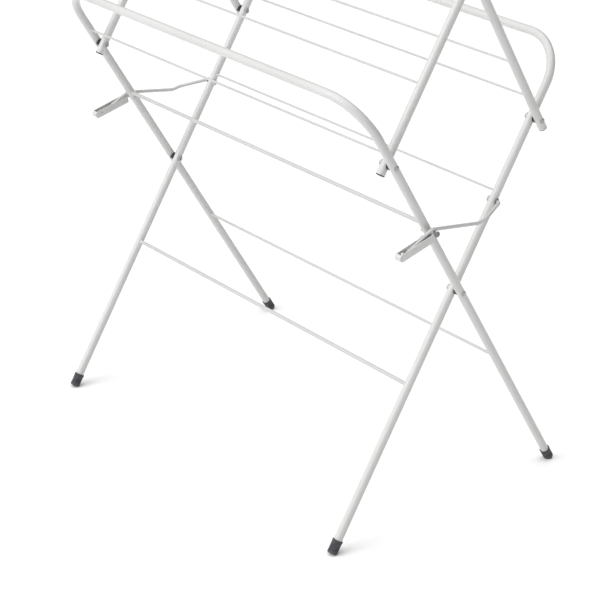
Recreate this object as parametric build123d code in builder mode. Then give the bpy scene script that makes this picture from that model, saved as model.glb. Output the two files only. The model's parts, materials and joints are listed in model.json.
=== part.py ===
"""Folding clothes drying rack: four bent tube frames in a two-storey scissor.

X runs along the hanging wires, Y front to back and Z up from the floor. The origin lies on
the floor under the scissor's middle. All sizes are in millimetres.
"""
import os
from math import cos, radians, sin

from build123d import *

# Driving dimensions
tube_radius = 6.0
tube_wall = 0.9
corner_radius = 62.0
outer_half_width = 319.0  # middle of the rack to the axis of an outer frame's leg
inner_half_width = 304.0  # the same for an inner frame, which nests inside
half_angle = 32.0  # lean of every frame from upright when the rack stands open
leg_length = 394.0  # lower pivot to the sole of a foot, along the leg
pivot_spacing = 254.0  # from one pivot to the next, along a frame
top_length = 365.0  # a frame's middle pivot to its top bar
stub_length = 15.0  # tube left below an upper frame's lowest pivot

thin_wire_radius = 1.6
medium_wire_radius = 2.0
thick_wire_radius = 2.75
high_wire = 279.0  # wire heights along a frame, counted from its middle pivot
mid_wire = 144.0
low_wire = -144.0

foot_radius = 7.2
foot_length = 20.0
foot_floor = 4.0  # rubber below the end of the tube
sole_cut = 2.2  # depth of the worn flat on the foot's lowest edge

rivet_radius = 2.5
rivet_head_radius = 3.9
rivet_head_height = 1.3
rivet_tail_radius = 4.4
rivet_tail_height = 1.8
spacer_radius = 5.6
spacer_reach = 3.6  # how far the spacer's saddle reaches round the outer tube
running_gap = 0.05  # radial gap of a rivet or pin in the tube that turns on it
side_gap = 0.3  # gap beside a tube that turns

stay_height = 131.0  # lower pivot to the stay's pivot and to its stud, along the legs
stay_radius = 2.5
stay_bend_x = 316.0  # X where the pivot pin bends into the stay
stay_bend_radius = 5.0
stay_plane = 332.0  # X of the stay's long straight run
stay_jog_reach = 42.0  # the stay moves out to its plane over this run, dropping a little
stay_jog_drop = 6.4
stay_crank_reach = 57.0  # from here it rises again, towards the stud
stay_crank_drop = 8.8
stay_crank_radius = 14.0
stay_past_stud = 4.0  # the stay bends down into its handle this far past the stud
stay_end_radius = 10.0
stud_radius = 3.0
stud_end = 338.5  # X of the shank's outer end
stud_cap_radius = 4.2
stud_cap_height = 3.5
bush_radius = 4.6
bush_thickness = 1.8
handle_tilt = 13.0
handle_width = 10.0
handle_height = 10.8
handle_wall = 1.2
handle_rim_drop = 3.7  # the channel's open edge lies this far below the stay's last bend
handle_hook_face = 3.9  # from that bend to the inner end wall, which hooks past the stud
handle_end = 65.7  # from that bend to the rounded outer end
handle_wire_end = 48.0
handle_opening_end = 62.0  # the channel's top is open up to here
handle_hole_radius = 1.7  # a hole through the inner wall only
handle_hole_place = 53.6

# Places that follow from the dimensions above
lean = radians(half_angle)
lowest_edge = leg_length * cos(lean) + foot_radius * sin(lean)
lower_pivot = Vector(0, 0, lowest_edge - sole_cut)
up_forward = Vector(0, -sin(lean), cos(lean))  # along the outer lower frame, towards its top
up_backward = Vector(0, sin(lean), cos(lean))  # along the inner lower frame
front_pivot = lower_pivot + up_forward * pivot_spacing
back_pivot = lower_pivot + up_backward * pivot_spacing
upper_pivot = front_pivot + up_backward * pivot_spacing
stay_pivot = lower_pivot + up_backward * stay_height
stud_place = lower_pivot + up_forward * stay_height
across = Vector(1, 0, 0)


def leg_axis_plane(pivot, direction, x):
    """Plane whose Z runs along a leg, with its origin on the leg's axis beside a pivot."""
    return Plane(origin=pivot + across * x, x_dir=across, z_dir=direction)


def cross_plane(place, x):
    """Plane square to X at a place on the rack, with its Z pointing to +X."""
    return Plane(origin=place + across * x, x_dir=(0, 1, 0), z_dir=(1, 0, 0))


def bent_frame(pivot, direction, half_width, low_end, tight_holes, loose_holes, pin_holes=()):
    """One tube bent into an arch, with cross holes at distances along it from its pivot."""
    face = Plane(origin=pivot, x_dir=(1, 0, 0), z_dir=across.cross(direction))
    corners = [
        (-half_width, -low_end),
        (-half_width, top_length),
        (half_width, top_length),
        (half_width, -low_end),
    ]
    holes = [(t, rivet_radius) for t in tight_holes]
    holes += [(t, rivet_radius + running_gap) for t in loose_holes]
    holes += list(pin_holes)
    with BuildPart() as frame:
        with BuildLine(face):
            FilletPolyline(*corners, radius=corner_radius)
        with BuildSketch(leg_axis_plane(pivot - direction * low_end, direction, -half_width)):
            Circle(tube_radius)
            Circle(tube_radius - tube_wall, mode=Mode.SUBTRACT)
        sweep()
        for side in (-1, 1):
            for t, radius in holes:
                middle = pivot + direction * t + across * side * half_width
                with Locations(Plane(origin=middle, z_dir=(1, 0, 0))):
                    Cylinder(radius, 4 * tube_radius, mode=Mode.SUBTRACT)
    return frame


def hanging_wire(pivot, direction, half_width, t, radius):
    """A straight wire between a frame's legs, its ends shaped to the round tubes."""
    middle = pivot + direction * t
    with BuildPart() as wire:
        with BuildSketch(cross_plane(middle, 0)):
            Circle(radius)
        extrude(amount=half_width, both=True)
        for side in (-1, 1):
            with Locations(leg_axis_plane(middle, direction, side * half_width)):
                Cylinder(tube_radius, 10 * tube_radius, mode=Mode.SUBTRACT)
    return wire


def rubber_foot(direction, half_width, side):
    """A rubber cup over the tube's end, with a small flat where it meets the floor."""
    sole = leg_axis_plane(lower_pivot - direction * leg_length, direction, side * half_width)
    with BuildPart() as foot:
        with BuildSketch(sole):
            Circle(foot_radius)
        extrude(amount=foot_length)
        rims = foot.edges().filter_by(GeomType.CIRCLE)
        fillet(rims, radius=0.8)
        with BuildSketch(sole.offset(foot_floor)):
            Circle(tube_radius)
        extrude(amount=foot_length, mode=Mode.SUBTRACT)
        split(bisect_by=Plane.XY, keep=Keep.TOP)
    return foot


def pivot_rivet(place, direction, side):
    """A domed rivet through an outer leg and the inner leg beside it."""
    outer_face = outer_half_width + tube_radius
    tail_start = inner_half_width - tube_radius - side_gap - rivet_tail_height
    facing = Plane(origin=place, x_dir=(0, 1, 0), z_dir=(side, 0, 0))
    leg = leg_axis_plane(place, direction, side * outer_half_width)
    with BuildPart() as rivet:
        with BuildSketch(facing.offset(outer_face - 2.5)):
            Circle(rivet_head_radius)
        extrude(amount=2.5 + rivet_head_height)
        crown = rivet.faces().sort_by(Axis(place, (side, 0, 0)))[-1]
        fillet(crown.edges(), radius=rivet_head_height - 0.3)
        with Locations(leg):
            Cylinder(tube_radius, 6 * tube_radius, mode=Mode.SUBTRACT)
        with BuildSketch(facing.offset(tail_start)):
            Circle(rivet_radius)
        extrude(amount=outer_face + 0.5 - tail_start)
        with BuildSketch(facing.offset(tail_start)):
            Circle(rivet_tail_radius)
        extrude(amount=rivet_tail_height)
    return rivet


def pivot_spacer(place, direction, side):
    """A plastic washer between two legs, with a saddle that grips the outer one."""
    inner_face = inner_half_width + tube_radius + side_gap
    saddle_end = outer_half_width - tube_radius + spacer_reach
    facing = Plane(origin=place, x_dir=(0, 1, 0), z_dir=(side, 0, 0))
    with BuildPart() as spacer:
        with BuildSketch(facing.offset(inner_face)):
            Circle(spacer_radius)
        extrude(amount=saddle_end - inner_face)
        with Locations(leg_axis_plane(place, direction, side * outer_half_width)):
            Cylinder(tube_radius, 6 * tube_radius, mode=Mode.SUBTRACT)
        with Locations(facing.offset(inner_face)):
            Cylinder(rivet_radius, 8 * tube_radius, mode=Mode.SUBTRACT)
    return spacer


def handle_directions():
    """The channel's own directions in side view: along it to its outer end, and up from it."""
    tilt = radians(handle_tilt)
    return Vector(0, -cos(tilt), -sin(tilt)), Vector(0, -sin(tilt), cos(tilt))


def stay_path_points(side):
    """The stay's centre line from its riveted tip to its end on the handle's floor."""
    rest_height = stud_radius + stay_radius + 0.2
    tip = inner_half_width - tube_radius - side_gap - rivet_tail_height
    stud_reach = 2 * stay_height * sin(lean)
    rise = (rest_height + stay_crank_drop) / (stud_reach - stay_crank_reach)
    places = [
        (tip, 0, 0),
        (stay_bend_x, 0, 0),
        (stay_plane, stay_jog_reach, -stay_jog_drop),
        (stay_plane, stay_crank_reach, -stay_crank_drop),
        (stay_plane, stud_reach + stay_past_stud, rest_height + rise * stay_past_stud),
    ]
    points = [stay_pivot + Vector(side * x, -y, z) for x, y, z in places]
    onward, upward = handle_directions()
    floor_top = handle_wall - handle_rim_drop - handle_height
    points.append(points[4] + onward * handle_wire_end + upward * (floor_top + stay_radius))
    return points


def stay_wire(side):
    """A wire bent square into a pivot pin, with its tip riveted over inside the leg."""
    points = stay_path_points(side)
    bends = [stay_bend_radius, stay_crank_radius, stay_crank_radius, stay_end_radius]
    start = Plane(origin=points[0], x_dir=(0, 1, 0), z_dir=(side, 0, 0))
    with BuildPart() as wire:
        with BuildLine():
            FilletPolyline(*points, radius=bends)
        with BuildSketch(start):
            Circle(stay_radius)
        sweep()
        with BuildSketch(start):
            Circle(rivet_tail_radius)
        extrude(amount=rivet_tail_height)
    return wire


def stay_handle(side, wire):
    """A folded channel on the stay's end. Its inner end wall hooks past the stud."""
    last_bend = stay_path_points(side)[4]
    onward, upward = handle_directions()
    inner_side = stay_plane - stay_radius - handle_wall
    middle_x = inner_side + handle_width / 2
    middle = Vector(side * middle_x, last_bend.Y, last_bend.Z)
    side_view = Plane(origin=middle, x_dir=onward, z_dir=onward.cross(upward))
    rounding = handle_height / 2
    centre_height = -handle_rim_drop - rounding
    round_start = handle_end - rounding
    straight = round_start - handle_hook_face
    cavity_start = handle_hook_face + handle_wall
    cavity = round_start - cavity_start
    opening = handle_opening_end - cavity_start
    with BuildPart() as handle:
        with BuildSketch(side_view):
            with Locations((handle_hook_face + straight / 2, centre_height)):
                Rectangle(straight, handle_height)
            with Locations((round_start, centre_height)):
                Circle(rounding)
        extrude(amount=handle_width / 2, both=True)
        with BuildSketch(side_view):
            with Locations((cavity_start + cavity / 2, centre_height)):
                Rectangle(cavity, handle_height - 2 * handle_wall)
            with Locations((round_start, centre_height)):
                Circle(rounding - handle_wall)
            with Locations((cavity_start + opening / 2, centre_height + rounding)):
                Rectangle(opening, handle_height)
        extrude(amount=handle_width / 2 - handle_wall, both=True, mode=Mode.SUBTRACT)
        with BuildSketch(side_view):
            with Locations((handle_hole_place, centre_height)):
                Circle(handle_hole_radius)
        extrude(amount=side * handle_width, mode=Mode.SUBTRACT)
        add(wire, mode=Mode.SUBTRACT)
    return handle


def stay_stud(side):
    """A steel stud through the outer leg, with a flat tail inside and a bare shank outside."""
    tail_start = outer_half_width - tube_radius - rivet_tail_height
    facing = Plane(origin=stud_place, x_dir=(0, 1, 0), z_dir=(side, 0, 0))
    with BuildPart() as stud:
        with BuildSketch(facing.offset(tail_start)):
            Circle(stud_radius)
        extrude(amount=stud_end - tail_start)
        with BuildSketch(facing.offset(tail_start)):
            Circle(rivet_tail_radius)
        extrude(amount=rivet_tail_height)
    return stud


def stud_cap(side):
    """A plastic button pressed on the stud's end, which keeps the stay from slipping off."""
    facing = Plane(origin=stud_place, x_dir=(0, 1, 0), z_dir=(side, 0, 0))
    with BuildPart() as cap:
        with BuildSketch(facing.offset(stud_end - stud_cap_height + 1.2)):
            Circle(stud_cap_radius)
        extrude(amount=stud_cap_height)
        fillet(cap.edges().filter_by(GeomType.CIRCLE), radius=0.9)
        with BuildSketch(facing.offset(stud_end - stud_cap_height)):
            Circle(stud_radius)
        extrude(amount=stud_cap_height, mode=Mode.SUBTRACT)
    return cap


def stay_bush(side):
    """A plastic washer on the stay's pivot pin, between the leg and the stay."""
    facing = Plane(origin=stay_pivot, x_dir=(0, 1, 0), z_dir=(side, 0, 0))
    start = inner_half_width + tube_radius + side_gap
    with BuildPart() as bush:
        with BuildSketch(facing.offset(start)):
            Circle(bush_radius)
            Circle(stay_radius + running_gap, mode=Mode.SUBTRACT)
        extrude(amount=bush_thickness)
    return bush


os.makedirs("parts", exist_ok=True)


def save(piece, name):
    """Label a finished piece and write it to its own file."""
    piece.part.label = name
    export_step(piece.part, f"parts/{name}.step")


# The four bent tubes. Rivets sit tight in the outer frames and turn in the inner ones.
stay_pin_hole = (stay_height, stay_radius + running_gap)
stud_hole = (stay_height, stud_radius)
upper_low_end = pivot_spacing + stub_length
tube_end = leg_length - foot_floor

lower_outer_frame = bent_frame(
    lower_pivot, up_forward, outer_half_width, tube_end, (0, pivot_spacing), (), [stud_hole]
)
save(lower_outer_frame, "lower_outer_frame")

lower_inner_frame = bent_frame(
    lower_pivot, up_backward, inner_half_width, tube_end, (), (0, pivot_spacing), [stay_pin_hole]
)
save(lower_inner_frame, "lower_inner_frame")

upper_inner_frame = bent_frame(
    upper_pivot, up_backward, inner_half_width, upper_low_end, (), (-pivot_spacing, 0)
)
save(upper_inner_frame, "upper_inner_frame")

upper_outer_frame = bent_frame(
    upper_pivot, up_forward, outer_half_width, upper_low_end, (-pivot_spacing, 0), ()
)
save(upper_outer_frame, "upper_outer_frame")

# Three wires on every frame: high, mid and low
frame_layout = {
    "lower_outer": (lower_pivot, up_forward, outer_half_width),
    "lower_inner": (lower_pivot, up_backward, inner_half_width),
    "upper_inner": (upper_pivot, up_backward, inner_half_width),
    "upper_outer": (upper_pivot, up_forward, outer_half_width),
}
wire_heights = {"high": high_wire, "mid": mid_wire, "low": low_wire}
heavy_wires = {
    "lower_outer_mid": thick_wire_radius,
    "lower_outer_low": medium_wire_radius,
    "lower_inner_low": thick_wire_radius,
}
for frame_name, (pivot, direction, half_width) in frame_layout.items():
    for height_name, t in wire_heights.items():
        place_name = f"{frame_name}_{height_name}"
        radius = heavy_wires.get(place_name, thin_wire_radius)
        save(hanging_wire(pivot, direction, half_width, t, radius), f"{place_name}_wire")

# Feet, rivets, spacers and stays, on the left (-X) and on the right (+X)
rivet_places = {
    "lower_middle": (lower_pivot, up_forward),
    "front": (front_pivot, up_forward),
    "back": (back_pivot, up_forward),
    "upper_middle": (upper_pivot, up_forward),
}
for side_name, side in (("left", -1), ("right", 1)):
    save(rubber_foot(up_forward, outer_half_width, side), f"back_{side_name}_foot")
    save(rubber_foot(up_backward, inner_half_width, side), f"front_{side_name}_foot")
    for place_name, (place, direction) in rivet_places.items():
        save(pivot_rivet(place, direction, side), f"{place_name}_rivet_{side_name}")
        save(pivot_spacer(place, direction, side), f"{place_name}_spacer_{side_name}")
    wire = stay_wire(side)
    save(wire, f"stay_wire_{side_name}")
    save(stay_handle(side, wire.part), f"stay_handle_{side_name}")
    save(stay_bush(side), f"stay_bush_{side_name}")
    save(stay_stud(side), f"stay_stud_{side_name}")
    save(stud_cap(side), f"stud_cap_{side_name}")
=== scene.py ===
import bmesh
import bpy
import json
import math
from mathutils import Matrix, Vector, noise


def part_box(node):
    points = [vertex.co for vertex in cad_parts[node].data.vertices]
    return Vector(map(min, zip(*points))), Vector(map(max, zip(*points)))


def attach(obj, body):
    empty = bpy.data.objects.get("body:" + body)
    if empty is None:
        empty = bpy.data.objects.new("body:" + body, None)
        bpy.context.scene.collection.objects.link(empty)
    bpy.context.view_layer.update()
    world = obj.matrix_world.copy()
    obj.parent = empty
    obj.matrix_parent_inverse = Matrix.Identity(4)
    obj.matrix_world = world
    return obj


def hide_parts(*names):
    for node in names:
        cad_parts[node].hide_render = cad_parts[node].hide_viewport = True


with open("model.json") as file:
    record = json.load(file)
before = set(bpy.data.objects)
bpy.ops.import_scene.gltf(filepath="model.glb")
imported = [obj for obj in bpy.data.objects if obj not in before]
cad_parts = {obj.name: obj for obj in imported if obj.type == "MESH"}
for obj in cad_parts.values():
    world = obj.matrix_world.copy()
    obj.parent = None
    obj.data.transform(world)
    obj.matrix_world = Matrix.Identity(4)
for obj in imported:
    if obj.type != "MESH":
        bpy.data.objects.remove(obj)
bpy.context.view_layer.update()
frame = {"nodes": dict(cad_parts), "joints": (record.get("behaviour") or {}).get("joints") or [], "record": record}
print("frame loaded with", len(frame["nodes"]), "nodes")

# places that every piece is set out from
jointPlace = {j["name"]: Vector(j["pos_m"]) for j in frame["joints"]}
lowerPivot = jointPlace["fold"]
frontPivot = jointPlace["front_pivot"]
backPivot = jointPlace["back_pivot"]
upperPivot = frontPivot + backPivot - lowerPivot
stayPivot = jointPlace["stay_follow_left"]
studPlace = Vector((0, -stayPivot.y, stayPivot.z))
upForward = (frontPivot - lowerPivot).normalized()  # along the lower outer frame, to its top
upBackward = (backPivot - lowerPivot).normalized()
tubeRadius = 0.006
outerHalfWidth = 0.319
innerHalfWidth = 0.304
sides = {"left": -1, "right": 1}


# every finish is mixed from noise in the piece's own coordinates
def newFinish(name):
    finish = bpy.data.materials.new(name)
    finish.use_nodes = True
    tree = finish.node_tree
    shader = tree.nodes["Principled BSDF"]
    place = tree.nodes.new("ShaderNodeTexCoord").outputs["Object"]
    return finish, tree, shader, place


def clouds(tree, place, scale, detail=3.0, roughness=0.55, stretch=None):
    if stretch:
        mapping = tree.nodes.new("ShaderNodeMapping")
        mapping.inputs["Scale"].default_value = stretch
        tree.links.new(place, mapping.inputs["Vector"])
        place = mapping.outputs["Vector"]
    texture = tree.nodes.new("ShaderNodeTexNoise")
    texture.inputs["Scale"].default_value = scale
    texture.inputs["Detail"].default_value = detail
    texture.inputs["Roughness"].default_value = roughness
    tree.links.new(place, texture.inputs["Vector"])
    return texture.outputs["Fac"]


def between(tree, value, fromLow, fromHigh, toLow, toHigh):
    ranged = tree.nodes.new("ShaderNodeMapRange")
    limits = {"From Min": fromLow, "From Max": fromHigh, "To Min": toLow, "To Max": toHigh}
    for name, number in limits.items():
        ranged.inputs[name].default_value = number
    tree.links.new(value, ranged.inputs["Value"])
    return ranged.outputs["Result"]


def blendColour(tree, share, first, second):
    mix = tree.nodes.new("ShaderNodeMix")
    mix.data_type = "RGBA"
    tree.links.new(share, mix.inputs[0])
    for socket, colour in ((mix.inputs[6], first), (mix.inputs[7], second)):
        if isinstance(colour, tuple):
            socket.default_value = (*colour, 1)
        else:
            tree.links.new(colour, socket)
    return mix.outputs[2]


def raiseSurface(tree, shader, layers):
    normal = None
    for height, strength, distance in layers:
        bump = tree.nodes.new("ShaderNodeBump")
        bump.inputs["Strength"].default_value = strength
        bump.inputs["Distance"].default_value = distance
        tree.links.new(height, bump.inputs["Height"])
        if normal:
            tree.links.new(normal, bump.inputs["Normal"])
        normal = bump.outputs["Normal"]
    tree.links.new(normal, shader.inputs["Normal"])


def powderCoat(name, look):
    finish, tree, shader, place = newFinish(name)
    patches = between(tree, clouds(tree, place, look["patchScale"]), 0.35, 0.65, 0, 1)
    white = blendColour(tree, patches, look["white"], look["warmWhite"])
    smudges = clouds(tree, place, look["smudgeScale"], 6, 0.65)
    handled = between(tree, smudges, 0.56, 0.8, 0, look["smudge"])
    white = blendColour(tree, handled, white, look["grime"])
    specks = clouds(tree, place, look["speckScale"], 2, 0.5)
    pits = between(tree, specks, 0.74, 0.8, 0, look["speck"])
    white = blendColour(tree, pits, white, look["grime"])
    height = tree.nodes.new("ShaderNodeSeparateXYZ")
    tree.links.new(place, height.inputs[0])
    dust = between(tree, height.outputs["Z"], look["dustTop"], look["dustFull"], 0, look["dust"])
    white = blendColour(tree, dust, white, look["grime"])
    tree.links.new(white, shader.inputs["Base Color"])
    tree.links.new(between(tree, smudges, 0.3, 0.75, *look["roughness"]), shader.inputs["Roughness"])
    peel = clouds(tree, place, look["peelScale"], 1.5, 0.4)
    grain = clouds(tree, place, look["grainScale"], 2, 0.5)
    raiseSurface(tree, shader, [(peel, look["peel"], look["peelDepth"]),
                                (grain, look["grain"], look["grainDepth"])])
    shader.inputs["Coat Weight"].default_value = look["coat"]
    shader.inputs["Coat Roughness"].default_value = look["coatRoughness"]
    shader.inputs["IOR"].default_value = look["index"]
    return finish


def mouldedRubber(name, look):
    finish, tree, shader, place = newFinish(name)
    bloom = clouds(tree, place, look["bloomScale"], 5, 0.6)
    bloom = between(tree, bloom, 0.42, 0.72, 0, look["bloom"])
    black = blendColour(tree, bloom, look["black"], look["grey"])
    height = tree.nodes.new("ShaderNodeSeparateXYZ")
    tree.links.new(place, height.inputs[0])
    dust = between(tree, height.outputs["Z"], look["dustTop"], look["dustFull"], 0, look["dust"])
    black = blendColour(tree, dust, black, look["grey"])
    tree.links.new(black, shader.inputs["Base Color"])
    fine = clouds(tree, place, look["grainScale"], 3, 0.6)
    tree.links.new(between(tree, fine, 0.3, 0.7, *look["roughness"]), shader.inputs["Roughness"])
    raiseSurface(tree, shader, [(fine, look["grain"], look["grainDepth"])])
    shader.inputs["Specular IOR Level"].default_value = look["shine"]
    return finish


def platedSteel(name, look):
    finish, tree, shader, place = newFinish(name)
    spangle = clouds(tree, place, look["spangleScale"], 4, 0.6)
    steel = blendColour(tree, between(tree, spangle, 0.35, 0.65, 0, 1), look["bright"], look["dull"])
    stains = clouds(tree, place, look["stainScale"], 5, 0.65)
    stains = between(tree, stains, 0.58, 0.75, 0, look["stain"])
    steel = blendColour(tree, stains, steel, look["dark"])
    tree.links.new(steel, shader.inputs["Base Color"])
    tree.links.new(between(tree, spangle, 0.3, 0.7, *look["roughness"]), shader.inputs["Roughness"])
    scratches = clouds(tree, place, look["scratchScale"], 4, 0.6, look["scratchStretch"])
    raiseSurface(tree, shader, [(scratches, look["scratch"], look["scratchDepth"])])
    shader.inputs["Metallic"].default_value = look["metal"]
    return finish


tubeLook = {
    "white": (0.575, 0.575, 0.572), "warmWhite": (0.545, 0.543, 0.533), "grime": (0.36, 0.34, 0.31),
    "patchScale": 6.0, "smudgeScale": 34.0, "smudge": 0.10, "speckScale": 620.0, "speck": 0.35,
    "dustTop": 0.16, "dustFull": 0.015, "dust": 0.10, "roughness": (0.30, 0.46),
    "peelScale": 780.0, "peel": 0.35, "peelDepth": 0.00012,
    "grainScale": 3600.0, "grain": 0.25, "grainDepth": 0.00003,
    "coat": 0.35, "coatRoughness": 0.22, "index": 1.5,
}
wireLook = dict(tubeLook, white=(0.52, 0.52, 0.518), warmWhite=(0.49, 0.49, 0.486),
                peelScale=1100.0, coat=0.25)
stayLook = dict(tubeLook, white=(0.54, 0.54, 0.537), warmWhite=(0.51, 0.51, 0.505),
                smudge=0.2, peelScale=1000.0)
sheetLook = dict(tubeLook, white=(0.60, 0.60, 0.597), smudge=0.22, smudgeScale=60.0,
                 peelScale=900.0, coat=0.4)
weldLook = dict(tubeLook, white=(0.54, 0.54, 0.535), grime=(0.30, 0.27, 0.24), smudge=0.3,
                smudgeScale=220.0, peelScale=520.0, peel=0.8)
rivetLook = {
    "bright": (0.46, 0.46, 0.46), "dull": (0.34, 0.34, 0.345), "dark": (0.12, 0.11, 0.10),
    "spangleScale": 420.0, "stain": 0.45, "stainScale": 260, "roughness": (0.32, 0.5), "metal": 0.7,
    "scratch": 0.3, "scratchScale": 900, "scratchStretch": (1, 1, 6), "scratchDepth": 0.00004,
}
studLook = dict(rivetLook, bright=(0.62, 0.62, 0.62), dull=(0.48, 0.48, 0.485), stain=0.25)
rubberLook = {
    "black": (0.040, 0.042, 0.050), "grey": (0.13, 0.13, 0.135), "bloomScale": 190.0, "bloom": 0.35,
    "dustTop": 0.009, "dustFull": 0.0, "dust": 0.35, "roughness": (0.55, 0.72), "shine": 0.4,
    "grainScale": 2600.0, "grain": 0.5, "grainDepth": 0.00005,
}
plasticLook = dict(rubberLook, black=(0.020, 0.020, 0.022), bloom=0.2, dust=0.0, grain=0.25,
                   roughness=(0.34, 0.5), shine=0.5)
capLook = dict(plasticLook, black=(0.20, 0.20, 0.20), grey=(0.30, 0.30, 0.298),
               roughness=(0.28, 0.42))

finishes = {
    "frame_tube": powderCoat("whiteTubeCoat", tubeLook),
    "hanging_wire": powderCoat("whiteWireCoat", wireLook),
    "stay_paint": powderCoat("whiteStayCoat", stayLook),
    "handle_paint": powderCoat("whiteSheetCoat", sheetLook),
    "foot_rubber": mouldedRubber("footRubber", rubberLook),
    "pivot_plastic": mouldedRubber("spacerPlastic", plasticLook),
    "cap_plastic": mouldedRubber("buttonPlastic", capLook),
    "rivet_steel": platedSteel("rivetZinc", rivetLook),
    "stud_steel": platedSteel("studZinc", studLook),
}
weldCoat = powderCoat("paintedWeld", weldLook)

nodeSlot = {s["node"]: s["material_slot"] for s in frame["record"]["subparts"]}
for nodeName, node in frame["nodes"].items():
    finish = finishes[nodeSlot[nodeName]]
    if not node.material_slots:
        node.data.materials.append(finish)
    for materialSlot in node.material_slots:
        materialSlot.material = finish
print("finishes made:", len(bpy.data.materials))


# a profile of (radius, place along) turned round an axis, as most small fittings are made
def turned(profile, start, axis, segments=48, shape=None):
    axis = axis.normalized()
    sideways = Vector((1, 0, 0)) if abs(axis.x) < 0.5 else upForward
    sideways = (sideways - axis * sideways.dot(axis)).normalized()
    third = axis.cross(sideways)
    mesh = bmesh.new()
    rings = []
    for index, (radius, along) in enumerate(profile):
        if radius == 0:
            rings.append([mesh.verts.new(start + axis * along)])
            continue
        ring = []
        for step in range(segments):
            angle = 2 * math.pi * step / segments
            outward = sideways * math.cos(angle) + third * math.sin(angle)
            point = start + axis * along + outward * radius
            ring.append(mesh.verts.new(shape(index, point) if shape else point))
        rings.append(ring)
    loops = list(zip(rings, rings[1:]))
    if len(rings[0]) > 1:
        loops.append((rings[-1], rings[0]))  # a closed ring, with a hole down its middle
    for low, high in loops:
        for step in range(segments):
            after = (step + 1) % segments
            if len(low) == 1:
                mesh.faces.new((low[0], high[after], high[step]))
            elif len(high) == 1:
                mesh.faces.new((low[step], low[after], high[0]))
            else:
                mesh.faces.new((low[step], low[after], high[after], high[step]))
    bmesh.ops.recalc_face_normals(mesh, faces=mesh.faces)
    return mesh


def finishPiece(name, mesh, body, slotName, stands=(), coat=None, sharp=35):
    data = bpy.data.meshes.new(name)
    mesh.to_mesh(data)
    mesh.free()
    piece = bpy.data.objects.new(name, data)
    bpy.context.scene.collection.objects.link(piece)
    data.materials.append(coat or finishes[slotName])
    data.shade_smooth()
    data.set_sharp_from_angle(angle=math.radians(sharp))
    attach(piece, body)
    if stands:
        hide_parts(*stands)
    return piece


def prism(outline, place, along, up, low, high):
    # a flat outline in side view, pushed through along X
    mesh = bmesh.new()
    rings = []
    for x in (low, high):
        middle = Vector((x, 0, 0)) + place
        rings.append([mesh.verts.new(middle + along * u + up * v) for u, v in outline])
    mesh.faces.new(rings[0])
    mesh.faces.new(list(reversed(rings[1])))
    for k in range(len(outline)):
        after = (k + 1) % len(outline)
        mesh.faces.new((rings[0][k], rings[1][k], rings[1][after], rings[0][after]))
    bmesh.ops.recalc_face_normals(mesh, faces=mesh.faces)
    return mesh


def loose(name, mesh):
    data = bpy.data.meshes.new(name)
    mesh.to_mesh(data)
    mesh.free()
    thing = bpy.data.objects.new(name, data)
    bpy.context.scene.collection.objects.link(thing)
    return thing


def carved(solid, cutters, bevel=0.0, steps=2):
    # cuts shapes out of a solid, softens its edges and hands back the mesh
    block = loose("block", solid)
    tools = [loose("cutter", cutter) for cutter in cutters]
    for tool in tools:
        cut = block.modifiers.new("cut", "BOOLEAN")
        cut.operation = "DIFFERENCE"
        cut.solver = "EXACT"
        cut.object = tool
    if bevel:
        soften = block.modifiers.new("soften", "BEVEL")
        soften.width = bevel
        soften.segments = steps
        soften.limit_method = "ANGLE"
        soften.angle_limit = math.radians(35)
        soften.use_clamp_overlap = True
    bpy.context.view_layer.update()
    data = bpy.data.meshes.new_from_object(block.evaluated_get(bpy.context.evaluated_depsgraph_get()))
    mesh = bmesh.new()
    mesh.from_mesh(data)
    bmesh.ops.remove_doubles(mesh, verts=mesh.verts, dist=1e-6)
    bpy.data.meshes.remove(data)
    for thing in [block] + tools:
        old = thing.data
        bpy.data.objects.remove(thing)
        bpy.data.meshes.remove(old)
    return mesh


# foot caps: ribbed sleeves whose soles are cut level with the floor
footDesign = {
    "radius": 0.0072, "length": 0.020, "legLength": 0.394, "floor": 0.004, "bore": 0.00604,
    "ribs": 4, "ribStart": 0.0050, "ribPitch": 0.0017, "ribDepth": 0.00035, "lip": 0.00035,
    "segments": 56,
}


def footProfile(d):
    radius, length = d["radius"], d["length"]
    lip = radius + d["lip"]
    outline = [(0, 0.0006), (0.0016, 0.0006), (0.0019, 0.0), (0.0042, 0.0), (0.0045, 0.0005),
               (0.0053, 0.0005), (0.0056, 0.0), (radius - 0.0008, 0.0), (radius - 0.0003, 0.00025),
               (radius, 0.0008)]
    for rib in range(d["ribs"]):
        low = d["ribStart"] + rib * d["ribPitch"]
        groove = radius - d["ribDepth"]
        outline += [(radius, low), (groove, low + 0.0003), (groove, low + 0.0007),
                    (radius, low + 0.001)]
    outline += [(radius, length - 0.0036), (lip, length - 0.0030), (lip, length - 0.0010),
                (radius + 0.0001, length - 0.0002), (radius - 0.0005, length),
                (d["bore"] + 0.0002, length), (d["bore"], length - 0.0003), (d["bore"], d["floor"]),
                (0, d["floor"])]
    return outline


def makeFoot(frameName, sideName, direction, halfWidth, body):
    outward = Vector((sides[sideName] * halfWidth, 0, 0))
    sole = lowerPivot - direction * footDesign["legLength"] + outward
    mesh = turned(footProfile(footDesign), sole, direction, footDesign["segments"])
    everything = mesh.verts[:] + mesh.edges[:] + mesh.faces[:]
    bmesh.ops.bisect_plane(mesh, geom=everything, plane_co=(0, 0, 0), plane_no=(0, 0, -1),
                           clear_outer=True, dist=1e-7)
    rim = [e for e in mesh.edges if e.is_boundary]
    bmesh.ops.holes_fill(mesh, edges=rim, sides=0)
    bmesh.ops.recalc_face_normals(mesh, faces=mesh.faces)
    finishPiece(f"{frameName}{sideName.title()}FootCap", mesh, body, "foot_rubber",
                [f"{frameName}_{sideName}_foot"])


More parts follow.
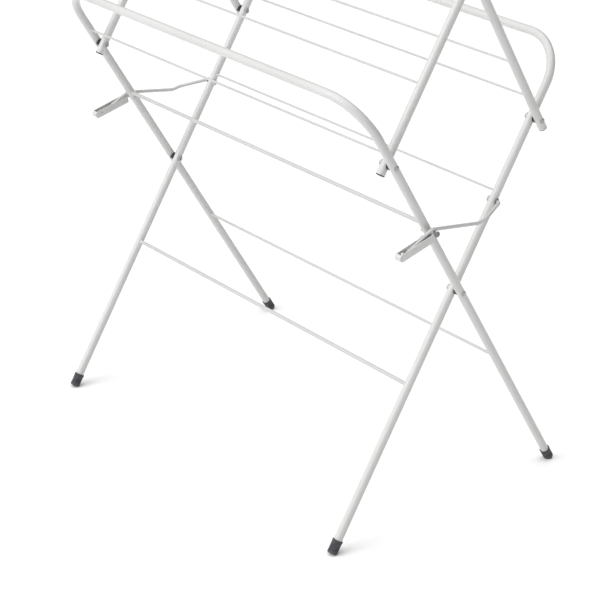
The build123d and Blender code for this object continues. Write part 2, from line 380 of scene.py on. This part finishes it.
for sideName in sides:
    makeFoot("back", sideName, upForward, outerHalfWidth, "lower_outer")
    makeFoot("front", sideName, upBackward, innerHalfWidth, "lower_inner")
print("feet done")

# rivets through both legs, their heads shaped to the outer tube
rivetDesign = {
    "shank": 0.0025, "headRadius": 0.0039, "headHeight": 0.0013, "domeRun": 0.0017,
    "domeRise": 0.0009, "domeStart": 0.0011, "arc": 8, "tailRadius": 0.0044, "tailHeight": 0.0018,
    "tailGap": 0.0003, "hollow": 0.0013, "segments": 40,
}


def rivetProfile(d):
    tailInside = innerHalfWidth - tubeRadius - d["tailGap"]
    tailEnd = tailInside - d["tailHeight"]
    headSeat = outerHalfWidth + tubeRadius
    headTop = headSeat + d["headHeight"]
    hollow, tail, head = d["hollow"], d["tailRadius"], d["headRadius"]
    profile = [(0, tailEnd + 0.0016), (hollow * 0.8, tailEnd + 0.0015), (hollow, tailEnd + 0.0008),
               (hollow + 0.0005, tailEnd + 0.0002), (hollow + 0.0012, tailEnd),
               (tail - 0.0008, tailEnd + 0.0002), (tail - 0.0002, tailEnd + 0.0007),
               (tail, tailEnd + 0.0012), (tail - 0.0003, tailInside),
               (d["shank"], tailInside), (d["shank"], headSeat - 0.001)]
    seat = len(profile)
    profile += [(d["shank"] + 0.0002, headSeat - 0.0012), (head - 0.0005, headSeat - 0.0014),
                (head - 0.0001, headSeat - 0.0014)]
    for step in range(d["arc"] + 1):
        angle = math.radians(90 * step / d["arc"])
        profile.append((head - d["domeRun"] * (1 - math.cos(angle)),
                        headTop - d["domeStart"] + d["domeRise"] * math.sin(angle)))
    profile += [(0.0014, headTop - 0.00008), (0, headTop)]
    return profile, seat


def makeRivet(placeName, place, sideName, body):
    side = sides[sideName]
    profile, seat = rivetProfile(rivetDesign)

    # the head's underside follows the tube, its inner ring pressed in a little
    def saddle(index, point):
        offset = point - place
        offset.x = 0
        if index in (seat + 1, seat + 2):
            q = (offset - upForward * offset.dot(upForward)).length
            pressed = 0.0002 if index == seat + 1 else 0
            point.x = side * (outerHalfWidth + math.sqrt(tubeRadius ** 2 - q ** 2) - pressed)
        return point

    mesh = turned(profile, Vector((0, place.y, place.z)), Vector((side, 0, 0)),
                  rivetDesign["segments"], saddle)
    finishPiece(f"{placeName}Rivet{sideName.title()}", mesh, body, "rivet_steel",
                [f"{placeName}_rivet_{sideName}"])


rivetPlaces = {
    "lower_middle": (lowerPivot, "lower_outer"), "front": (frontPivot, "lower_outer"),
    "back": (backPivot, "upper_outer"), "upper_middle": (upperPivot, "upper_outer"),
}
for placeName, (place, body) in rivetPlaces.items():
    for sideName in sides:
        makeRivet(placeName, place, sideName, body)
print("rivets done")

# spacers between the legs, hollowed where the outer tube lies against them
spacerDesign = {
    "radius": 0.0056, "start": 0.3103, "end": 0.3166, "bore": 0.00255, "groove": 0.0003,
    "bevel": 0.0002, "segments": 48, "cutLength": 0.04, "cutSegments": 72,
}


def makeSpacer(placeName, place, sideName, body):
    d = spacerDesign
    side = Vector((sides[sideName], 0, 0))
    start, end, radius = d["start"], d["end"], d["radius"]
    profile = [(d["bore"], start), (radius - 0.0005, start), (radius, start + 0.0005),
               (radius, start + 0.0010), (radius - d["groove"], start + 0.0012),
               (radius - d["groove"], start + 0.0016), (radius, start + 0.0018), (radius, end),
               (d["bore"], end)]
    ring = turned(profile, Vector((0, place.y, place.z)), side, d["segments"])
    cutLength = d["cutLength"]
    legStart = place + side * outerHalfWidth - upForward * (cutLength / 2)
    leg = turned([(0, 0), (tubeRadius, 0), (tubeRadius, cutLength), (0, cutLength)], legStart,
                 upForward, d["cutSegments"])
    finishPiece(f"{placeName}Spacer{sideName.title()}", carved(ring, [leg], d["bevel"]), body,
                "pivot_plastic", [f"{placeName}_spacer_{sideName}"])


for placeName, (place, body) in rivetPlaces.items():
    for sideName in sides:
        makeSpacer(placeName, place, sideName, body)
print("spacers done")

# plugs in the tube ends below the upper frames' pivots
plugDesign = {
    "stem": 0.00508, "flange": 0.0060, "stub": 0.015, "depth": 0.006, "height": 0.0017,
    "dome": 0.0009, "domeRun": 0.0034, "arc": 8, "gap": 0.00005, "segments": 48,
}


def makePlug(frameName, pivot, direction, halfWidth, sideName):
    d = plugDesign
    end = pivot - direction * d["stub"] + Vector((sides[sideName] * halfWidth, 0, 0))
    flat = d["height"] - d["dome"]
    stem, flange, height = d["stem"], d["flange"], d["height"]
    profile = [(0, -d["depth"]), (stem - 0.0005, -d["depth"]), (stem, -d["depth"] + 0.0006),
               (stem, d["gap"]), (flange - 0.0002, d["gap"]), (flange, 0.00025), (flange, flat)]
    for step in range(1, d["arc"]):
        angle = math.radians(90 * step / d["arc"])
        profile.append((flange - d["domeRun"] * (1 - math.cos(angle)),
                        flat + d["dome"] * math.sin(angle)))
    profile += [(0.0016, height), (0.0012, height - 0.0003), (0, height - 0.0003)]
    mesh = turned(profile, end, -direction, d["segments"])
    finishPiece(f"{frameName}Plug{sideName.title()}", mesh, frameName, "pivot_plastic")


for sideName in sides:
    makePlug("upper_inner", frontPivot, upBackward, innerHalfWidth, sideName)
    makePlug("upper_outer", backPivot, upForward, outerHalfWidth, sideName)
print("tube ends done")

# weld beads where each hanging wire meets a leg
weldDesign = {
    "reach": 0.0012, "swell": 0.15, "segments": 26, "arc": 6, "uneven": 0.3, "sink": 0.0002,
    "lumpScale": 420, "wires": {"high": 0.279, "mid": 0.144, "low": -0.144},
}
frameLayout = {
    "lower_outer": (lowerPivot, upForward, outerHalfWidth),
    "lower_inner": (lowerPivot, upBackward, innerHalfWidth),
    "upper_inner": (upperPivot, upBackward, innerHalfWidth),
    "upper_outer": (upperPivot, upForward, outerHalfWidth),
}


def addWeld(mesh, middle, direction, side, halfWidth, wireRadius, d):
    sideways = direction.cross(Vector((1, 0, 0)))
    rings = []
    for step in range(d["segments"]):
        angle = 2 * math.pi * step / d["segments"]
        along = direction * math.cos(angle) + sideways * math.sin(angle)
        wobble = noise.noise((middle + along * 0.004) * d["lumpScale"] + Vector((side * 3.1, 0, 0)))
        reach = (d["reach"] + d["swell"] * wireRadius) * (1 + d["uneven"] * wobble)
        section = [(wireRadius + reach, -d["sink"] * 2)]
        for turn in range(d["arc"] + 1):
            bend = math.radians(90 * turn / d["arc"])
            section.append((wireRadius + reach * (1 - math.sin(bend)), reach * (1 - math.cos(bend))))
        section += [(wireRadius - d["sink"], reach), (wireRadius - d["sink"], -d["sink"] * 2)]
        ring = []
        for radius, gap in section:
            q = radius * math.sin(angle)
            x = side * (halfWidth - math.sqrt(tubeRadius ** 2 - q ** 2) - gap)
            ring.append(mesh.verts.new(middle + along * radius + Vector((x, 0, 0))))
        rings.append(ring)
    for step, ring in enumerate(rings):
        after = rings[(step + 1) % len(rings)]
        for k in range(len(ring)):
            nextK = (k + 1) % len(ring)
            mesh.faces.new((ring[k], after[k], after[nextK], ring[nextK]))


for frameName, (pivot, direction, halfWidth) in frameLayout.items():
    mesh = bmesh.new()
    for wireName, along in weldDesign["wires"].items():
        low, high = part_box(f"{frameName}_{wireName}_wire")
        wireRadius = (high - low).z / 2
        middle = pivot + direction * along
        for side in sides.values():
            addWeld(mesh, middle, direction, side, halfWidth, wireRadius, weldDesign)
    bmesh.ops.recalc_face_normals(mesh, faces=mesh.faces)
    finishPiece(f"{frameName}_welds", mesh, frameName, "hanging_wire", coat=weldCoat, sharp=60)
print("welds done")

# stud caps and bushes that each stay hangs and turns on
capDesign = {
    "radius": 0.0042, "back": 0.3362, "front": 0.3397, "bore": 0.00302, "boreEnd": 0.3385,
    "segments": 40,
}
bushDesign = {"radius": 0.0046, "start": 0.3103, "thickness": 0.0018, "bore": 0.00254, "segments": 40}


def makeStudCap(sideName):
    d = capDesign
    radius, back, front = d["radius"], d["back"], d["front"]
    inner = [(0, d["boreEnd"]), (d["bore"], d["boreEnd"])]
    profile = [(d["bore"], back), (radius - 0.0006, back), (radius - 0.0001, back + 0.0003),
               (radius, back + 0.0009), (radius, back + 0.0016), (radius - 0.0003, front - 0.0012),
               (radius - 0.0010, front - 0.0005), (radius - 0.0017, front - 0.0002),
               (0.0019, front), (0.0015, front - 0.00025), (0, front - 0.0003)]
    mesh = turned(inner + profile, Vector((0, studPlace.y, studPlace.z)),
                  Vector((sides[sideName], 0, 0)), d["segments"])
    finishPiece(f"studCap{sideName.title()}", mesh, "lower_outer", "cap_plastic",
                [f"stud_cap_{sideName}"])


def makeBush(sideName):
    d = bushDesign
    radius, start = d["radius"], d["start"]
    end = start + d["thickness"]
    profile = [(d["bore"], start), (radius - 0.0003, start), (radius, start + 0.0003),
               (radius, end - 0.0006), (radius - 0.0005, end - 0.0001), (0.0036, end), (0.0032, end),
               (d["bore"] + 0.0003, end), (d["bore"], end - 0.0002)]
    mesh = turned(profile, Vector((0, stayPivot.y, stayPivot.z)), Vector((sides[sideName], 0, 0)),
                  d["segments"])
    finishPiece(f"stayBush{sideName.title()}", mesh, f"stay_bush_{sideName}", "cap_plastic",
                [f"stay_bush_{sideName}"])


# washers under the rivet tails and bushes, shaped to the inner tube they turn with
washerDesign = {
    "radius": 0.0045, "bore": 0.0026, "gap": 0.00025, "depth": 0.0004, "back": 0.001,
    "clearance": 0.00005, "segments": 40,
}


def makeWasher(placeName, place, sideName, body):
    d = washerDesign
    side = sides[sideName]
    face = innerHalfWidth - tubeRadius - d["gap"]
    profile = [(d["bore"], face), (d["radius"] - 0.0004, face), (d["radius"], face + d["depth"]),
               (d["radius"] - 0.0001, face + d["back"]), (d["bore"], face + d["back"])]

    # the washer's back follows the tube it lies on
    def saddle(index, point):
        if index >= 3:
            offset = point - place
            offset.x = 0
            q = (offset - upBackward * offset.dot(upBackward)).length
            point.x = side * (innerHalfWidth - math.sqrt(tubeRadius ** 2 - q ** 2) - d["clearance"])
        return point

    mesh = turned(profile, Vector((0, place.y, place.z)), Vector((side, 0, 0)), d["segments"], saddle)
    finishPiece(f"{placeName}Washer{sideName.title()}", mesh, body, "rivet_steel")


washerPlaces = {
    "lower_middle": (lowerPivot, "lower_inner"), "front": (frontPivot, "upper_inner"),
    "back": (backPivot, "lower_inner"), "upper_middle": (upperPivot, "upper_inner"),
    "stay": (stayPivot, "lower_inner"),
}
for sideName in sides:
    makeStudCap(sideName)
    makeBush(sideName)
    for placeName, (place, body) in washerPlaces.items():
        makeWasher(placeName, place, sideName, body)
print("stay fittings done")

# the folded channel on each stay's end, with the wire welded into it
handleDesign = {
    "lastBend": (0.332, -0.142839, 0.006409), "wire": 0.0025, "tilt": 13.0, "width": 0.010,
    "height": 0.0108,
    "wall": 0.0012, "rimDrop": 0.0037, "hookFace": 0.0039, "end": 0.0657, "wireEnd": 0.048,
    "openingEnd": 0.0620, "openingTop": 0.002, "hole": 0.0017, "holePlace": 0.0536,
    "holeSteps": 24, "bevel": 0.0003, "arc": 20,
}
beadDesign = {"radius": 0.0010, "rings": 22, "round": 14, "lump": 0.14, "lumpScale": 900, "waves": 5.5}


def channelOutline(d, start, inset):
    rounding = d["height"] / 2
    middle = -d["rimDrop"] - rounding
    roundStart = d["end"] - rounding
    outline = [(start, middle - rounding + inset)]
    for step in range(d["arc"] + 1):
        angle = math.radians(-90 + 180 * step / d["arc"])
        reach = rounding - inset
        outline.append((roundStart + reach * math.cos(angle), middle + reach * math.sin(angle)))
    outline.append((start, middle + rounding - inset))
    return outline


# a weld bead laid from start to end, tapered and rippled
def addBead(mesh, start, end, seed, d):
    along = end - start
    forward = along.normalized()
    sideways = Vector((1, 0, 0))
    third = forward.cross(sideways).normalized()
    rings = []
    for step in range(d["rings"] + 1):
        share = step / d["rings"]
        taper = math.sqrt(max(0.0, 1 - (2 * share - 1) ** 4))
        ripple = 0.86 + 0.14 * abs(math.sin(share * d["waves"] * math.pi))
        point = start + along * share
        ring = []
        for k in range(d["round"]):
            angle = 2 * math.pi * k / d["round"]
            outward = sideways * math.cos(angle) + third * math.sin(angle)
            bump = noise.noise(point * d["lumpScale"] + Vector((seed, k * 0.35, 0)))
            reach = max(d["radius"] * taper * ripple * (1 + d["lump"] * bump), 0.00002)
            ring.append(mesh.verts.new(point + outward * reach))
        rings.append(ring)
    for low, high in zip(rings, rings[1:]):
        for k in range(d["round"]):
            after = (k + 1) % d["round"]
            mesh.faces.new((low[k], low[after], high[after], high[k]))
    mesh.faces.new(list(reversed(rings[0])))
    mesh.faces.new(rings[-1])


def makeHandle(sideName):
    d = handleDesign
    side = sides[sideName]
    tilt = math.radians(d["tilt"])
    onward = Vector((0, -math.cos(tilt), -math.sin(tilt)))
    upward = Vector((0, -math.sin(tilt), math.cos(tilt)))
    x, y, z = d["lastBend"]
    bend = Vector((0, stayPivot.y + y, stayPivot.z + z))
    wall = d["wall"]
    inner = x - d["wire"] - wall
    outer = inner + d["width"]

    def span(low, high):
        return sorted((side * low, side * high))

    outline = channelOutline(d, d["hookFace"], 0)
    solid = prism(outline, bend, onward, upward, *span(inner, outer))
    inside = span(inner + wall, outer - wall)
    centre = -d["rimDrop"] - d["height"] / 2
    floorTop = wall - d["rimDrop"] - d["height"]
    first = d["hookFace"] + wall
    cavity = prism(channelOutline(d, first, wall), bend, onward, upward, *inside)
    top = [(first, centre), (d["openingEnd"], centre), (d["openingEnd"], d["openingTop"]),
           (first, d["openingTop"])]
    opening = prism(top, bend, onward, upward, *inside)
    ring = []
    for step in range(d["holeSteps"]):
        angle = 2 * math.pi * step / d["holeSteps"]
        ring.append((d["holePlace"] + d["hole"] * math.cos(angle),
                     centre + d["hole"] * math.sin(angle)))
    hole = prism(ring, bend, onward, upward, *span(inner - 0.004, inner + wall + 0.001))
    mesh = carved(solid, [cavity, opening, hole], d["bevel"], 3)
    finishPiece(f"handleChannel{sideName.title()}", mesh, f"stay_{sideName}", "handle_paint",
                [f"stay_handle_{sideName}"], sharp=40)
    mesh = bmesh.new()
    wireEnd = bend + Vector((side * x, 0, 0)) + onward * d["wireEnd"] + upward * (floorTop + d["wire"])
    wireWay = (Vector((side * x, bend.y, bend.z)) - wireEnd).normalized()
    wallSide = Vector((-side, 0, 0))
    wallCorner = wallSide * 0.0021 + upward * 0.0019
    floorCorner = -wallSide * 0.0019 - upward * 0.0018
    beads = ((0.001, 0.014, wallCorner), (0.024, 0.034, wallCorner), (-0.001, 0.008, floorCorner))
    for number, (first, last, offset) in enumerate(beads):
        addBead(mesh, wireEnd + wireWay * first + offset, wireEnd + wireWay * last + offset,
                number * 7.3 + side, beadDesign)
    bmesh.ops.recalc_face_normals(mesh, faces=mesh.faces)
    finishPiece(f"handleWelds{sideName.title()}", mesh, f"stay_{sideName}", "handle_paint",
                coat=weldCoat, sharp=60)


for sideName in sides:
    makeHandle(sideName)
print("handles done")

# floor, light and camera
stageDesign = {
    "size": 60.0, "colour": (0.93, 0.93, 0.93), "shade": 0.985, "toneScale": 0.6, "roughness": 0.8,
    "shine": 0.1, "sky": 1.0, "brightSide": (-0.35, -0.75, 0.65), "spread": (-0.55, 0.9),
    "room": (0.05, 1.02),
}


def makeStage(d):
    mesh = bmesh.new()
    bmesh.ops.create_grid(mesh, x_segments=1, y_segments=1, size=d["size"] / 2)
    data = bpy.data.meshes.new("floor")
    mesh.to_mesh(data)
    mesh.free()
    floor = bpy.data.objects.new("floor", data)
    bpy.context.scene.collection.objects.link(floor)
    paint, tree, shader, place = newFinish("paleFloor")
    tone = clouds(tree, place, d["toneScale"], 2)
    shaded = tuple(c * d["shade"] for c in d["colour"])
    tree.links.new(blendColour(tree, tone, d["colour"], shaded), shader.inputs["Base Color"])
    shader.inputs["Roughness"].default_value = d["roughness"]
    shader.inputs["Specular IOR Level"].default_value = d["shine"]
    data.materials.append(paint)
    world = bpy.data.worlds.new("studioRoom")
    bpy.context.scene.world = world
    world.use_nodes = True
    tree = world.node_tree
    background = tree.nodes["Background"]
    direction = tree.nodes.new("ShaderNodeTexCoord").outputs["Generated"]
    split = tree.nodes.new("ShaderNodeVectorMath")
    split.operation = "DOT_PRODUCT"
    split.inputs[1].default_value = Vector(d["brightSide"]).normalized()
    tree.links.new(direction, split.inputs[0])
    room = between(tree, split.outputs["Value"], *d["spread"], *d["room"])
    light = blendColour(tree, room, (0.0, 0.0, 0.0), (1.0, 1.0, 1.0))
    tree.links.new(light, background.inputs["Color"])
    background.inputs["Strength"].default_value = d["sky"]


lampDesign = {
    "key": {"at": (-2.4, -7.0, 5.4), "size": 7.0, "power": 330},
    "top": {"at": (0.2, 0.6, 8.5), "size": 9.0, "power": 330},
}
lampAim = Vector((0, 0, 0.5))


def makeLamp(name, d):
    data = bpy.data.lights.new(name, "AREA")
    data.shape = "DISK"
    data.size = d["size"]
    data.energy = d["power"]
    lamp = bpy.data.objects.new(name, data)
    bpy.context.scene.collection.objects.link(lamp)
    lamp.location = d["at"]
    lamp.rotation_euler = (lampAim - lamp.location).to_track_quat("-Z", "Y").to_euler()


cameraDesign = {
    "azimuth": 48.516, "elevation": 23.714, "roll": 1.014, "distance": 2.7343, "lens": 112.30,
    "sensor": 36, "shiftX": -0.00765, "shiftY": -0.13683, "far": 100,
}


def makeCamera(d):
    azimuth, elevation, roll = (math.radians(d[k]) for k in ("azimuth", "elevation", "roll"))
    level = math.cos(elevation)
    forward = Vector((-math.sin(azimuth) * level, math.cos(azimuth) * level, -math.sin(elevation)))
    right = Vector((math.cos(azimuth), math.sin(azimuth), 0))
    up = right.cross(forward)
    turnedRight = right * math.cos(roll) + up * math.sin(roll)
    turnedUp = up * math.cos(roll) - right * math.sin(roll)
    data = bpy.data.cameras.new("camera")
    data.sensor_width = d["sensor"]
    data.lens = d["lens"]
    data.shift_x = d["shiftX"]
    data.shift_y = d["shiftY"]
    data.clip_end = d["far"]
    camera = bpy.data.objects.new("camera", data)
    bpy.context.scene.collection.objects.link(camera)
    spin = Matrix((turnedRight, turnedUp, -forward)).transposed().to_4x4()
    camera.matrix_world = Matrix.Translation(lowerPivot - forward * d["distance"]) @ spin
    bpy.context.scene.camera = camera


makeStage(stageDesign)
for lampName, design in lampDesign.items():
    makeLamp(lampName, design)
makeCamera(cameraDesign)
bpy.context.scene.view_settings.view_transform = "Standard"
print("stage, lamps and camera set")
